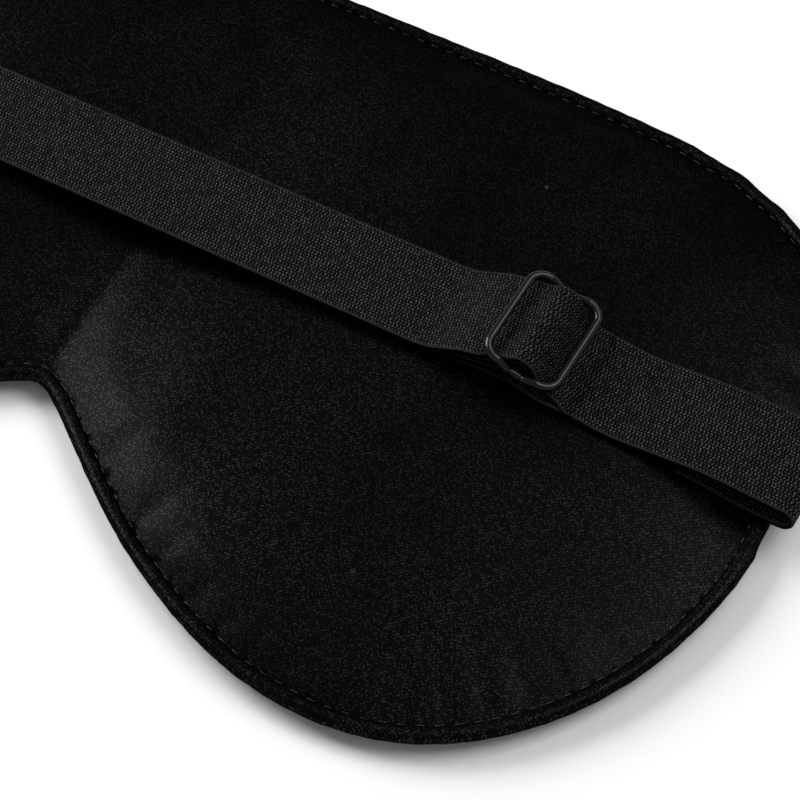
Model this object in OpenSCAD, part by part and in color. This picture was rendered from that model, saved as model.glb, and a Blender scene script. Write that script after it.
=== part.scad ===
// Contoured sleep mask with piped edge, elastic head strap, three-bar slider and ring.
// It lies on its outer panel, face side up: +X along its length, +Y to the forehead edge.

/* [Mask outline] */
// Half of the mask's length
half_length = 96; // [94:0.5:98]
// From the nose notch up to the forehead edge
top_rise = 80.4; // [78:0.2:82]
// From the nose notch down to the lowest point of a lobe
lobe_drop = 27.6; // [25:0.2:29]
// Distance of a lobe's lowest point from the middle
lobe_x = 57.3; // [56:0.1:59]
// Height of the widest point above the notch
end_rise = 20; // [18:0.5:22]

/* [Mask body] */
// Height of the seam above the rest face
seam_z = 3; // [2.8:0.1:3.2]
// Height of the two crowns above the rest face
crown_z = 7.7; // [6.8:0.1:7.7]
// Height of the valley over the nose
bridge_z = 5.3; // [4.8:0.1:6]
// Thickness of the satin
satin_t = 0.4; // [0.3:0.05:0.4]
// Diameter of the piping
piping_d = 2.2; // [2:0.1:2.3]

/* [Strap] */
// Width of the elastic
strap_w = 15; // [14:0.5:15.5]
// Thickness of the elastic
strap_t = 0.85; // [0.75:0.05:0.85]
// Height of the strap's middle line above the notch
strap_rise = 33; // [30:0.5:36]
// Underside of the strap's flat middle stretch
strap_z = 7.95; // [7.95:0.05:8.2]
// How far the two strap ends reach from the middle
strap_reach = 99.5; // [99.5:0.1:100]

/* [Slider and ring] */
// Place of the slider's middle along the mask
slider_x = 58.95; // [50:0.05:59]
// Height of the slider's middle
slider_z = 13.2; // [13.1:0.05:13.4]
// Size of the slider along the strap
slider_l = 11.8; // [11.6:0.1:12.2]
// Size of the slider across the strap
slider_w = 16.6; // [16:0.1:17]
// Diameter of the slider's wire
slider_wire = 1.2; // [1:0.05:1.2]
// How far the middle bar lies under the plane of the slider's frame
bar_drop = 0.7; // [0.6:0.05:0.8]
// Lean of the slider, with the bar nearer to the nose standing higher
slider_lean = 16.5; // [15:0.5:18]
// Size of the ring along the strap
ring_l = 9; // [8.8:0.1:9]
// Diameter of the ring's wire
ring_wire = 1.2; // [1:0.05:1.2]

/* [Hidden] */

satin_colour = [0.05, 0.06, 0.06];
elastic_colour = [0.10, 0.10, 0.11];
metal_colour = [0.03, 0.03, 0.03];
thread_colour = [0.08, 0.08, 0.09];
filling_colour = [0.80, 0.80, 0.78];
lining_colour = [0.15, 0.15, 0.16];

gap = 0.1;                                // clearance between layers that lie on each other
notch_y = (lobe_drop - top_rise) / 2;     // the notch, with the outline's box centred on Y = 0
strap_y = notch_y + strap_rise;
layer = strap_t + gap;
main_z = strap_z + strap_t / 2;           // middle plane of the lower layer of the strap
return_z = main_z + layer;                // middle plane of the upper layer
flat_left = -60;                          // ends of the strap's flat stretch
flat_right = slider_x + 8;
loop_left = slider_x - 15.5;

// ---------- outline ----------

function bezier(p, t) =
  pow(1 - t, 3) * p[0] + 3 * pow(1 - t, 2) * t * p[1] + 3 * (1 - t) * t * t * p[2] + t * t * t * p[3];

function curve(p, steps) = [for (k = [0:steps - 1]) bezier(p, k / steps)];

// Handles of the three curves that draw one half: notch to lobe, lobe to end, end to forehead edge
notch_handle = 5.6;
lobe_handles = [29.4, 20.6];
end_handles = [25.2, 66.9];
top_handle = 71.3;
bottom_y = notch_y - lobe_drop;
top_y = notch_y + top_rise;
end_y = notch_y + end_rise;

right_half = concat(
  curve([[0, notch_y], [notch_handle, notch_y], [lobe_x - lobe_handles[0], bottom_y], [lobe_x, bottom_y]], 9),
  curve([[lobe_x, bottom_y], [lobe_x + lobe_handles[1], bottom_y],
         [half_length, end_y - end_handles[0]], [half_length, end_y]], 9),
  curve([[half_length, end_y], [half_length, end_y + end_handles[1]],
         [top_handle, top_y], [0, top_y]], 16),
  [[0, top_y]]
);
last = len(right_half) - 1;
outline = concat(right_half, [for (k = [last - 1:-1:1]) [-right_half[k][0], right_half[k][1]]]);
count = len(outline);

function unit(v) = v / norm(v);
function along(k) = unit(outline[(k + 1) % count] - outline[(k + count - 1) % count]);
function inward(k) = [-along(k)[1], along(k)[0]];
function inset(distance) = [for (k = [0:count - 1]) outline[k] + distance * inward(k)];

// ---------- soft body ----------

panel_inset = 2.9;                        // from the outside of the piping to the edge of a panel
lip = 0.3;                                // from the seam plane to a panel's edge
rings = [0.35, 0.6, 0.8, 0.9, 0.96, 1];   // from the middle of a panel to its edge
flat_share = 0.8;                         // share of the outer panel that lies flat
middle = [0, notch_y + 30];
edge = inset(panel_inset);
lining_t = 0.4;

// Top of the inner panel, at a share of the way from the middle to the edge
function valley(x) = (crown_z - bridge_z) * exp(-pow(x / 18, 2));
function face_top(share, x) =
  let (low = seam_z + lip + satin_t)
  low + (crown_z - valley(x) - low) * (1 - pow(share, 6));

// Underside of the outer panel
function back_low(share, x) =
  share <= flat_share ? 0
  : (seam_z - lip - satin_t) * pow((share - flat_share) / (1 - flat_share), 2);

// Closed solid between two height functions, out to the last of the given rings
module layer_between(low, high, shares) {
  ring_count = len(shares);
  function spot(s, k) = middle + s * (edge[k] - middle);
  function level(height) = [
    for (s = shares) for (k = [0:count - 1]) [spot(s, k)[0], spot(s, k)[1], height(s, spot(s, k)[0])]
  ];
  points = concat(
    [[middle[0], middle[1], high(0, 0)], [middle[0], middle[1], low(0, 0)]],
    level(high), level(low)
  );
  function up(r, k) = 2 + r * count + k % count;
  function down(r, k) = 2 + (ring_count + r) * count + k % count;
  hubs = [for (k = [0:count - 1]) each [[0, up(0, k + 1), up(0, k)], [1, down(0, k), down(0, k + 1)]]];
  bands = [
    for (r = [0:ring_count - 2]) for (k = [0:count - 1]) each [
      [up(r, k), up(r, k + 1), up(r + 1, k + 1)],
      [up(r, k), up(r + 1, k + 1), up(r + 1, k)],
      [down(r, k), down(r + 1, k + 1), down(r, k + 1)],
      [down(r, k), down(r + 1, k), down(r + 1, k + 1)]
    ]
  ];
  e = ring_count - 1;
  wall = [
    for (k = [0:count - 1]) each [
      [up(e, k), up(e, k + 1), down(e, k + 1)],
      [up(e, k), down(e, k + 1), down(e, k)]
    ]
  ];
  polyhedron(points = points, faces = concat(hubs, bands, wall), convexity = 6);
}

module outer_panel() {
  color(satin_colour) layer_between(
    function(s, x) back_low(s, x),
    function(s, x) back_low(s, x) + satin_t,
    rings
  );
}

module inner_panel() {
  color(satin_colour) layer_between(
    function(s, x) face_top(s, x) - satin_t,
    function(s, x) face_top(s, x),
    rings
  );
}

module padding() {
  color(filling_colour) layer_between(
    function(s, x) back_low(s, x) + satin_t + lining_t + 2 * gap,
    function(s, x) face_top(s, x) - satin_t - gap,
    [for (s = rings) if (s <= 0.9) s]
  );
}

module blackout_lining() {
  color(lining_colour)
    translate([0, 0, satin_t + gap / 2])
      linear_extrude(lining_t)
        polygon([for (p = edge) middle + flat_share * (p - middle)]);
}

// ---------- piping ----------

// Closed sweep of a section round the outline. Section points are [inwards, up] from the piping's middle.
module sweep_round(section) {
  sides = len(section);
  centre = inset(piping_d / 2);
  points = [
    for (k = [0:count - 1]) for (p = section)
      [centre[k][0] + p[0] * inward(k)[0], centre[k][1] + p[0] * inward(k)[1], seam_z + p[1]]
  ];
  function at(k, j) = (k % count) * sides + j % sides;
  faces = [
    for (k = [0:count - 1]) for (j = [0:sides - 1]) each [
      [at(k, j), at(k + 1, j), at(k + 1, j + 1)],
      [at(k, j), at(k + 1, j + 1), at(k, j + 1)]
    ]
  ];
  polyhedron(points = points, faces = faces, convexity = 6);
}

function arc(radius, from, to, steps) = [
  for (k = [0:steps]) let (a = from + (to - from) * k / steps) radius * [cos(a), sin(a)]
];

cover_t = 0.3;                            // thickness of the satin strip round the cord
cover_steps = 6;                          // flats of the cover's inside
cord_r = (piping_d / 2 - cover_t) * cos(180 / cover_steps) - 0.03;
flange_t = 0.4;                           // both layers of the flange together
flange_end = 3.7;                         // from the piping's middle to the flange's inner edge
slit = 0.06;                              // between the two layers of the flange

module piping_cord() {
  color(filling_colour) sweep_round(arc(cord_r, 0, 315, 7));
}

// The strip goes round the cord, and its two edges lie on each other as the flange
module piping_cover() {
  outer_r = piping_d / 2;
  inner_r = outer_r - cover_t;
  outer_from = asin(flange_t / 2 / outer_r);
  inner_from = asin(slit / 2 / inner_r);
  color(satin_colour) sweep_round(concat(
    [[flange_end, flange_t / 2]],
    arc(outer_r, outer_from, 360 - outer_from, 8),
    [[flange_end, -flange_t / 2], [flange_end, -slit / 2]],
    arc(inner_r, 360 - inner_from, inner_from, cover_steps),
    [[flange_end, slit / 2]]
  ));
}

// One stitch for each stretch of the outline, in the groove between the piping and the inner panel
module seam_stitches() {
  groove = inset(piping_d + 0.35);
  color(thread_colour)
    for (k = [0:count - 1]) {
      from = groove[k];
      to = groove[(k + 1) % count];
      span = to - from;
      translate([(from[0] + to[0]) / 2, (from[1] + to[1]) / 2, seam_z + flange_t / 2 + 0.2])
        rotate([0, 0, atan2(span[1], span[0])])
          cube([norm(span) * 0.45, 0.3, 0.3], center = true);
    }
}

// ---------- strap ----------

function path_normal(path, k) =
  let (
    from = path[max(k - 1, 0)],
    to = path[min(k + 1, len(path) - 1)],
    t = unit(to - from)
  ) [-t[1], t[0]];

// Elastic of the strap's thickness along a side-view path of [x, z] points
module ribbon(path, width = strap_w, y = strap_y) {
  ends = len(path) - 1;
  side = [for (k = [0:ends]) path[k] + strap_t / 2 * path_normal(path, k)];
  other = [for (k = [ends:-1:0]) path[k] - strap_t / 2 * path_normal(path, k)];
  translate([0, y + width / 2, 0])
    rotate([90, 0, 0])
      linear_extrude(width)
        polygon(concat(side, other));
}

function smooth(t) = t * t * (3 - 2 * t);
// Points from p to q that leave and arrive level
function ease(p, q, steps) = [
  for (k = [0:steps]) let (t = k / steps) [p[0] + (q[0] - p[0]) * t, p[1] + (q[1] - p[1]) * smooth(t)]
];
function arc_at(centre, radius, from, to, steps) = [for (p = arc(radius, from, to, steps)) centre + p];

fold_r = 1.6;                             // radius of the strap's fold outside the piping
fold_z = 6.35;
fold_x = strap_reach - fold_r - strap_t / 2;
run_start = 94.9;                         // where the run over the face side begins
sewn_path = [[82.5, 6.35], [86, 5.95], [90, 5.25], [93.3, 4.8]];   // on the curve of the inner panel

module strap_right_end() {
  color(elastic_colour) ribbon(concat(
    sewn_path,
    arc_at([fold_x, fold_z], fold_r, -90, 90, 8),
    [[run_start + gap, fold_z + fold_r + 0.15]]
  ));
}

module strap_right_run() {
  color(elastic_colour) ribbon(concat(
    ease([run_start, fold_z + fold_r + 0.15], [86, 8.6], 4),
    ease([84, 8.6], [74, 7.6], 5),
    ease([73, 7.6], [flat_right + gap, main_z], 4)
  ));
}

module strap_main_run() {
  color(elastic_colour) ribbon([[flat_left, main_z], [flat_right, main_z]]);
}

module strap_return_run() {
  color(elastic_colour) ribbon([[flat_left, return_z], [loop_left - gap, return_z]]);
}

// ---------- ring at the other end ----------

ring_bar_x = -89.7;                       // the bar that the strap goes round, also the ring's pivot
ring_z = 8.5;
ring_w = strap_w + 2 * ring_wire + 0.6;
ring_span = ring_l - ring_wire;           // between the middles of its two long bars
turn_r = ring_wire / 2 + 0.12 + strap_t / 2;

module strap_left_turn() {
  lead = ring_bar_x + 3.5;
  color(elastic_colour) ribbon(concat(
    ease([flat_left - gap, main_z], [lead, ring_z - turn_r], 6),
    arc_at([ring_bar_x, ring_z], turn_r, 270, 90, 8),
    ease([lead, ring_z + turn_r], [flat_left - gap, return_z], 6)
  ));
}

// The tab is sewn to the inner panel, goes round the ring's outer bar and comes back through the ring
tab_loop_r = 2.325;
module ring_tab() {
  color(elastic_colour) ribbon(concat(
    [for (p = sewn_path) [-p[0], p[1]]],
    [[-95.4, 5.2]],
    arc_at([strap_t / 2 + tab_loop_r - strap_reach, ring_z], tab_loop_r, 245, 75, 10),
    [[-94.6, 9.3], [-94, 7.8], [-93.4, 6.4], [-92.2, 5.95], [-89.5, 6.25]]
  ));
}

// Round rod between two points, with round ends
module rod(from, to, d) {
  span = to - from;
  translate(from) {
    rotate([0, acos(span[2] / norm(span)), atan2(span[1], span[0])])
      cylinder(h = norm(span), d = d, $fn = 32);
    sphere(d = d, $fn = 32);
  }
  translate(to) sphere(d = d, $fn = 32);
}

// The round corners and the two long bars of a wire frame, flat in XY, middle at the origin
module wire_ends(length, width, wire, corner) {
  x = length / 2 - wire / 2;
  y = width / 2 - wire / 2;
  for (side = [-1, 1])
    rod([side * x, corner - y, 0], [side * x, y - corner, 0], wire);
  for (turn = [0, 1, 2, 3]) {
    cx = (turn == 0 || turn == 3 ? 1 : -1) * (x - corner);
    cy = (turn < 2 ? 1 : -1) * (y - corner);
    translate([cx, cy, 0])
      rotate([0, 0, 90 * turn])
        rotate_extrude(angle = 90, $fn = 64)
          translate([corner, 0]) circle(d = wire, $fn = 32);
  }
}

module strap_ring() {
  corner = 1.2;                             // small, so that the elastic's edges clear the bends
  x = ring_l / 2 - ring_wire / 2 - corner;
  color(metal_colour)
    translate([ring_bar_x - ring_span / 2, strap_y, ring_z]) {
      wire_ends(ring_l, ring_w, ring_wire, corner);
      for (side = [-1, 1]) {
        y = side * (ring_w / 2 - ring_wire / 2);
        rod([-x, y, 0], [x, y, 0], ring_wire);
      }
    }
}

// ---------- slider ----------

slider_y = strap_y + 0.3;
slider_corner = 2.3;                      // radius of the corners, to the middle of the wire
short_y = slider_w / 2 - slider_wire / 2;
waist_x = 0.9;                            // half of the thin stretch that carries the middle bar
waist_d = 0.7;
collar_d = 1.05;

module at_slider() {
  translate([slider_x, slider_y, slider_z]) rotate([0, slider_lean, 0]) children();
}

// The short sides dip towards the strap and are thin at their middle
module slider_frame() {
  x = slider_l / 2 - slider_wire / 2 - slider_corner;
  color(metal_colour) at_slider() {
    wire_ends(slider_l, slider_w, slider_wire, slider_corner);
    for (side = [-1, 1]) {
      y = side * short_y;
      for (end = [-1, 1])
        rod([end * x, y, 0], [end * waist_x * 1.5, y, -bar_drop], slider_wire);
      rod([-waist_x * 1.5, y, -bar_drop], [waist_x * 1.5, y, -bar_drop], waist_d);
    }
  }
}

// Straight bar with a collar at each end, crimped on the waists
module slider_centre_bar() {
  collar_l = 2 * (waist_x * 1.5 - slider_wire / 2) - gap;
  bore_d = waist_d + 0.04;
  color(metal_colour) at_slider() translate([0, 0, -bar_drop])
    difference() {
      union() {
        rotate([90, 0, 0]) cylinder(h = 2 * short_y, d = 1.1, center = true, $fn = 32);
        for (side = [-1, 1])
          translate([-collar_l / 2, side * short_y, 0])
            rotate([0, 90, 0]) cylinder(h = collar_l, d = collar_d, $fn = 32);
      }
      for (side = [-1, 1])
        translate([-collar_l, side * short_y, 0])
          rotate([0, 90, 0]) cylinder(h = 2 * collar_l, d = bore_d, $fn = 32);
    }
}

// Side view of the middle bar, with the slider's lean
bar = [slider_x - bar_drop * sin(slider_lean), slider_z - bar_drop * cos(slider_lean)];
wrap_r = 0.62 + strap_t / 2;              // the sewn end, round the middle bar
hump_r = wrap_r + layer;                  // the running strap, over the sewn end
loop_w = slider_w - 2 * slider_wire - 0.2;
foot = return_z - bar[1];                 // from the middle bar down to the upper layer

// Up from the upper layer, over the middle bar and down to the lower layer
module strap_slider_loop() {
  color(elastic_colour) ribbon(concat(
    ease([loop_left, return_z], bar + [-5.3, 0.17], 8),
    arc_at(bar, hump_r, 140, 5, 9),
    [bar + [2.9, -1.2], bar + [3.6, -2.2], bar + [4.6, -2.95], bar + [6, foot], bar + [7.4, foot]]
  ), loop_w, slider_y);
}

// Tail on the lower layer, once round the middle bar, and back onto the tail
module strap_sewn_end() {
  color(elastic_colour) ribbon(concat(
    [bar + [-11.5, foot], bar + [-9, foot + 0.05], bar + [-5, -2.6], bar + [-2.4, -1.7]],
    arc_at(bar, wrap_r, -105, 150, 14),
    [bar + [-2.2, -0.5], bar + [-4.2, -1.25], bar + [-6.6, -1.9]]
  ), loop_w, slider_y);
}

// ---------- bar tacks ----------

// Dense short stitches in a row across the strap, on a surface that slopes along X
module bartack(x, z, slope, y = strap_y) {
  stitches = 11;
  pitch = 1.1;
  color(thread_colour)
    for (k = [0:stitches - 1])
      translate([x, y + (k - (stitches - 1) / 2) * pitch, z])
        rotate([0, slope, 0]) cube([1.8, 0.4, 0.2], center = true);
}

module right_end_bartack() { bartack(84.4, 6.74, 6.5); }
module sewn_end_bartack() { bartack(bar[0] - 5.5, bar[1] - 1.03, -15.1, slider_y); }
module ring_tab_bartack() { bartack(-90.5, 6.72, -6.3); }

outer_panel();
inner_panel();
padding();
blackout_lining();
piping_cord();
piping_cover();
seam_stitches();
strap_right_end();
strap_right_run();
strap_main_run();
strap_left_turn();
strap_return_run();
strap_slider_loop();
strap_sewn_end();
slider_frame();
slider_centre_bar();
strap_ring();
ring_tab();
right_end_bartack();
sewn_end_bartack();
ring_tab_bartack();
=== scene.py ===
"""Sleep eye mask: padded satin body with piped edge, elastic head strap, wire slider and ring."""
import math
import random

import bpy
import numpy as np
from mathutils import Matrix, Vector
from mathutils.geometry import delaunay_2d_cdt


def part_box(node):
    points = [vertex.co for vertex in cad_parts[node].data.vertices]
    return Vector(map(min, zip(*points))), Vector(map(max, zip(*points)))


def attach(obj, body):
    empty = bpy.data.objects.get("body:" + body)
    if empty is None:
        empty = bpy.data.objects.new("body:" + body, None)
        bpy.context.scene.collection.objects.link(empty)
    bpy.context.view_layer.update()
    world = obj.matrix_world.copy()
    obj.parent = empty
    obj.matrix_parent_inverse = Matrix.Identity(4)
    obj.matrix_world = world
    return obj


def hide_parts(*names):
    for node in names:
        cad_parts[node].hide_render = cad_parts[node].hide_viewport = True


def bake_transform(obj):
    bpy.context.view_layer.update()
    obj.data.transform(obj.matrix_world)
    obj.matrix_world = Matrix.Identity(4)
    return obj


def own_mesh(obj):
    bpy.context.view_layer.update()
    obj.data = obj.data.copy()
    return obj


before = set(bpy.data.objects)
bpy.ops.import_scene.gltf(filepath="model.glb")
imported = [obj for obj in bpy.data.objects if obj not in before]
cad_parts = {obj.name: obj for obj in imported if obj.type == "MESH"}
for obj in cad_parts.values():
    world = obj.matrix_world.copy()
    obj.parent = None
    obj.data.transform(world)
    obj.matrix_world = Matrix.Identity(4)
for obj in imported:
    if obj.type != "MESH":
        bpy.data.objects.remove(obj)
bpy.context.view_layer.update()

MM = 0.001
scene = bpy.context.scene

# ---------------------------------------------------------------- places, from the frame
PIPING_LOW, PIPING_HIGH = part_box("piping_cover")
MAIN_LOW, MAIN_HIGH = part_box("strap_main_run")
RETURN_LOW, RETURN_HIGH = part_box("strap_return_run")
SLIDER_LOW, SLIDER_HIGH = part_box("slider_frame")
BAR_LOW, BAR_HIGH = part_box("slider_centre_bar")
RING_LOW, RING_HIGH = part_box("strap_ring")
END_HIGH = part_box("strap_right_end")[1]
TAB_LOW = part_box("ring_tab")[0]

# Distances of the design that no box gives
NOTCH_DEPTH = 27.6 * MM  # from the lobes' lowest point up to the notch
NOTCH_TO_END = 20 * MM  # from the notch up to the outline's widest place
NOTCH_TO_BROW = 80.4 * MM
LOBE_X = 57.3 * MM  # from the middle to a lobe's lowest point
BRIDGE_DROP = 2.4 * MM  # how much lower the crown is at the nose bridge
SATIN_T = 0.4 * MM
WIRE_R = 0.6 * MM
STRAP_GAP = 0.05 * MM  # between neighbouring pieces of the strap in the CAD model

HALF_LENGTH = PIPING_HIGH.x
BOTTOM_Y = PIPING_LOW.y
NOTCH_Y = BOTTOM_Y + NOTCH_DEPTH
TOP_Y = NOTCH_Y + NOTCH_TO_BROW
END_Y = NOTCH_Y + NOTCH_TO_END
MIDDLE = np.array([0.0, NOTCH_Y + 30 * MM])  # a place inside that sees the whole edge
SEAM_Z = (PIPING_LOW.z + PIPING_HIGH.z) / 2
PIPING_R = (PIPING_HIGH.z - PIPING_LOW.z) / 2
CROWN_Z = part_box("inner_panel")[1].z
BRIDGE_Z = CROWN_Z - BRIDGE_DROP

STRAP_T = MAIN_HIGH.z - MAIN_LOW.z
STRAP_W = MAIN_HIGH.y - MAIN_LOW.y
STRAP_Y = (MAIN_HIGH.y + MAIN_LOW.y) / 2
MAIN_Z = (MAIN_HIGH.z + MAIN_LOW.z) / 2
RETURN_Z = (RETURN_HIGH.z + RETURN_LOW.z) / 2
FLAT_LEFT = MAIN_LOW.x
FLAT_RIGHT = MAIN_HIGH.x
LOOP_LEFT = RETURN_HIGH.x + STRAP_GAP / 2
JOIN_RIGHT = FLAT_RIGHT + STRAP_GAP
SLIDER_Y = (SLIDER_HIGH.y + SLIDER_LOW.y) / 2
# Side views hold [x, z]: the slider's middle bar and the ring's bar on the strap's side
BAR = np.array([(BAR_LOW.x + BAR_HIGH.x) / 2, (BAR_LOW.z + BAR_HIGH.z) / 2])
RING_BAR = np.array([RING_HIGH.x - WIRE_R, (RING_LOW.z + RING_HIGH.z) / 2])


# ---------------------------------------------------------------- small helpers
def bezier(p, t):
    """Points of a cubic curve at the parameters t."""
    p = np.array(p, float)
    t = np.asarray(t, float)[:, None]
    s = 1 - t
    return s**3 * p[0] + 3 * s**2 * t * p[1] + 3 * s * t * t * p[2] + t**3 * p[3]


def resample(points, step, closed=False):
    """Evenly spaced points along a polyline, and their distances along it."""
    points = np.asarray(points, float)
    if closed:
        points = np.vstack([points, points[:1]])
    lengths = np.r_[0, np.cumsum(np.linalg.norm(np.diff(points, axis=0), axis=1))]
    count = max(2, round(lengths[-1] / step))
    at = np.linspace(0, lengths[-1], count + 1)
    if closed:
        at = at[:-1]
    return np.stack([np.interp(at, lengths, points[:, k]) for k in range(points.shape[1])], axis=1), at


def catmull(points, step):
    """A smooth curve through a few points, evenly resampled."""
    steps = 24
    p = np.asarray(points, float)
    p = np.vstack([2 * p[0] - p[1], p, 2 * p[-1] - p[-2]])
    t = np.linspace(0, 1, steps, endpoint=False)[:, None]
    parts = []
    for k in range(1, len(p) - 2):
        a, b, c, d = p[k - 1], p[k], p[k + 1], p[k + 2]
        square = 2 * a - 5 * b + 4 * c - d
        cube = 3 * b - a - 3 * c + d
        parts.append(0.5 * (2 * b + (c - a) * t + square * t**2 + cube * t**3))
    parts.append(p[-2:-1])
    return resample(np.vstack(parts), step)[0]


def arc(centre, radius, start, end, steps=16):
    """Points [x, z] on an arc, angles in degrees."""
    angles = np.radians(np.linspace(start, end, steps))
    return centre + radius * np.stack([np.cos(angles), np.sin(angles)], axis=1)


def smoothstep(t):
    """0 up to t = 0, 1 from t = 1, and smooth between."""
    t = np.clip(t, 0, 1)
    return t * t * (3 - 2 * t)


def ease(start, end, steps=14):
    """Points [x, z] from start to end that leave and arrive level."""
    t = np.linspace(0, 1, steps)
    x = start[0] + (end[0] - start[0]) * t
    z = start[1] + (end[1] - start[1]) * smoothstep(t)
    return np.stack([x, z], axis=1)


def waves(at, length, seed, counts, size):
    """A random sum of whole waves along a closed line: at is the distance, counts the waves in one lap."""
    draw = random.Random(seed)
    total = np.zeros(len(at))
    for n in counts:
        phase = draw.uniform(0, 2 * math.pi)
        total += draw.uniform(0.5, 1) * np.sin(2 * math.pi * n * at / length + phase)
    return size * total / len(counts)


def add_mesh(name, points, faces, uvs=None):
    """A smooth-shaded mesh object from arrays. uvs holds one (u, v) for each point."""
    mesh = bpy.data.meshes.new(name)
    mesh.from_pydata([tuple(p) for p in points], [], [tuple(f) for f in faces])
    mesh.shade_smooth()
    if uvs is not None:
        layer = mesh.uv_layers.new(name="UVMap")
        loops = np.zeros(len(mesh.loops), np.int32)
        mesh.loops.foreach_get("vertex_index", loops)
        layer.data.foreach_set("uv", np.asarray(uvs, np.float32)[loops].ravel())
    mesh.validate()
    obj = bpy.data.objects.new(name, mesh)
    scene.collection.objects.link(obj)
    return obj


def applied(obj):
    """Bakes the object's modifiers into its mesh."""
    bpy.context.view_layer.update()
    graph = bpy.context.evaluated_depsgraph_get()
    shaped = obj.evaluated_get(graph)
    mesh = bpy.data.meshes.new_from_object(shaped, preserve_all_data_layers=True, depsgraph=graph)
    obj.modifiers.clear()
    obj.data = mesh
    obj.data.shade_smooth()
    return obj


def vertices(obj):
    """The object's points as an array with one row each."""
    co = np.zeros(len(obj.data.vertices) * 3)
    obj.data.vertices.foreach_get("co", co)
    return co.reshape(-1, 3)


def set_vertices(obj, co):
    """Moves the object's points to the rows of an array."""
    obj.data.vertices.foreach_set("co", co.ravel())
    obj.data.update()


# ---------------------------------------------------------------- material helpers
class Shader:
    """One Principled material, with short calls that add and link nodes."""

    def __init__(self, name):
        self.material = bpy.data.materials.new(name)
        self.material.use_nodes = True
        self.tree = self.material.node_tree
        self.bsdf = self.tree.nodes["Principled BSDF"]

    def add(self, kind, inputs=None, **settings):
        """A new node. Each input is linked if it is another node's socket, and set if it is a value."""
        node = self.tree.nodes.new(kind)
        for key, value in settings.items():
            setattr(node, key, value)
        for key, value in (inputs or {}).items():
            if isinstance(value, bpy.types.NodeSocket):
                self.tree.links.new(value, node.inputs[key])
            else:
                node.inputs[key].default_value = value
        return node

    def math(self, operation, a, b=0.0, c=0.0):
        return self.add("ShaderNodeMath", {0: a, 1: b, 2: c}, operation=operation).outputs[0]

    def ramp(self, value, low, high, out_low=0.0, out_high=1.0):
        """Smooth step from out_low at low to out_high at high."""
        inputs = {"Value": value, "From Min": low, "From Max": high, "To Min": out_low, "To Max": out_high}
        return self.add("ShaderNodeMapRange", inputs, interpolation_type="SMOOTHSTEP").outputs["Result"]

    def mix(self, factor, a, b):
        """Colour a at factor 0 and b at factor 1."""
        factor_socket, a_socket, b_socket, result_socket = 0, 6, 7, 2  # the Mix node's sockets for colours
        inputs = {factor_socket: factor, a_socket: a, b_socket: b}
        return self.add("ShaderNodeMix", inputs, data_type="RGBA").outputs[result_socket]

    def noise(self, vector, scale, detail=2.0, roughness=0.5):
        inputs = {"Vector": vector, "Scale": scale, "Detail": detail, "Roughness": roughness}
        return self.add("ShaderNodeTexNoise", inputs).outputs["Fac"]

    def bump(self, height, distance, strength=1.0):
        inputs = {"Height": height, "Distance": distance, "Strength": strength}
        return self.add("ShaderNodeBump", inputs).outputs["Normal"]

    def set(self, **values):
        """Sets or links sockets of the shader by the short names in SOCKETS."""
        for key, value in values.items():
            socket = self.bsdf.inputs[SOCKETS[key]]
            if isinstance(value, bpy.types.NodeSocket):
                self.tree.links.new(value, socket)
            else:
                socket.default_value = value
        return self


SOCKETS = {
    "color": "Base Color",
    "roughness": "Roughness",
    "specular": "Specular IOR Level",
    "grazing_tint": "Specular Tint",
    "sheen": "Sheen Weight",
    "sheen_roughness": "Sheen Roughness",
    "sheen_tint": "Sheen Tint",
    "coat": "Coat Weight",
    "coat_roughness": "Coat Roughness",
    "normal": "Normal",
    "metallic": "Metallic",
}


FLOAT_W = 0.22 * MM
FLOAT_L = 0.42 * MM
LINT_COLOUR = (0.09, 0.09, 0.085, 1)
GRAZING_TINT = (0.35, 0.35, 0.35, 1)  # takes the glare off where the satin is seen at a slant


def satin_floats(s, place, angle):
    """Rows of short floats with their own brightness, 0 between them. angle turns the rows, in degrees."""
    turn = (0, 0, math.radians(angle))
    turned = s.add("ShaderNodeMapping", {"Vector": place, "Rotation": turn}).outputs[0]
    stretch = (1 / FLOAT_W, 1 / FLOAT_L, 1 / FLOAT_W)
    floats = s.add("ShaderNodeMapping", {"Vector": turned, "Scale": stretch}).outputs[0]
    inputs = {"Vector": floats, "Scale": 1.0, "Randomness": 0.5}
    cells = s.add("ShaderNodeTexVoronoi", inputs, voronoi_dimensions="2D")
    draw = s.add("ShaderNodeSeparateColor", {0: cells.outputs["Color"]}).outputs[0]
    body = s.ramp(cells.outputs["Distance"], 0.5, 0.1)
    return s.math("MULTIPLY", body, s.ramp(draw, 0.35, 1.0, 0.1, 1.0))


def lint_specks(s, place):
    """A speck of lint in a few of the cells, which are about 7 mm wide."""
    specks = s.add("ShaderNodeTexVoronoi", {"Vector": place, "Scale": 150.0, "Randomness": 1.0})
    rare = s.add("ShaderNodeSeparateColor", {0: specks.outputs["Color"]}).outputs[1]
    return s.math("MULTIPLY", s.ramp(specks.outputs["Distance"], 0.06, 0.03), s.ramp(rare, 0.8, 0.85))


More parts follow.
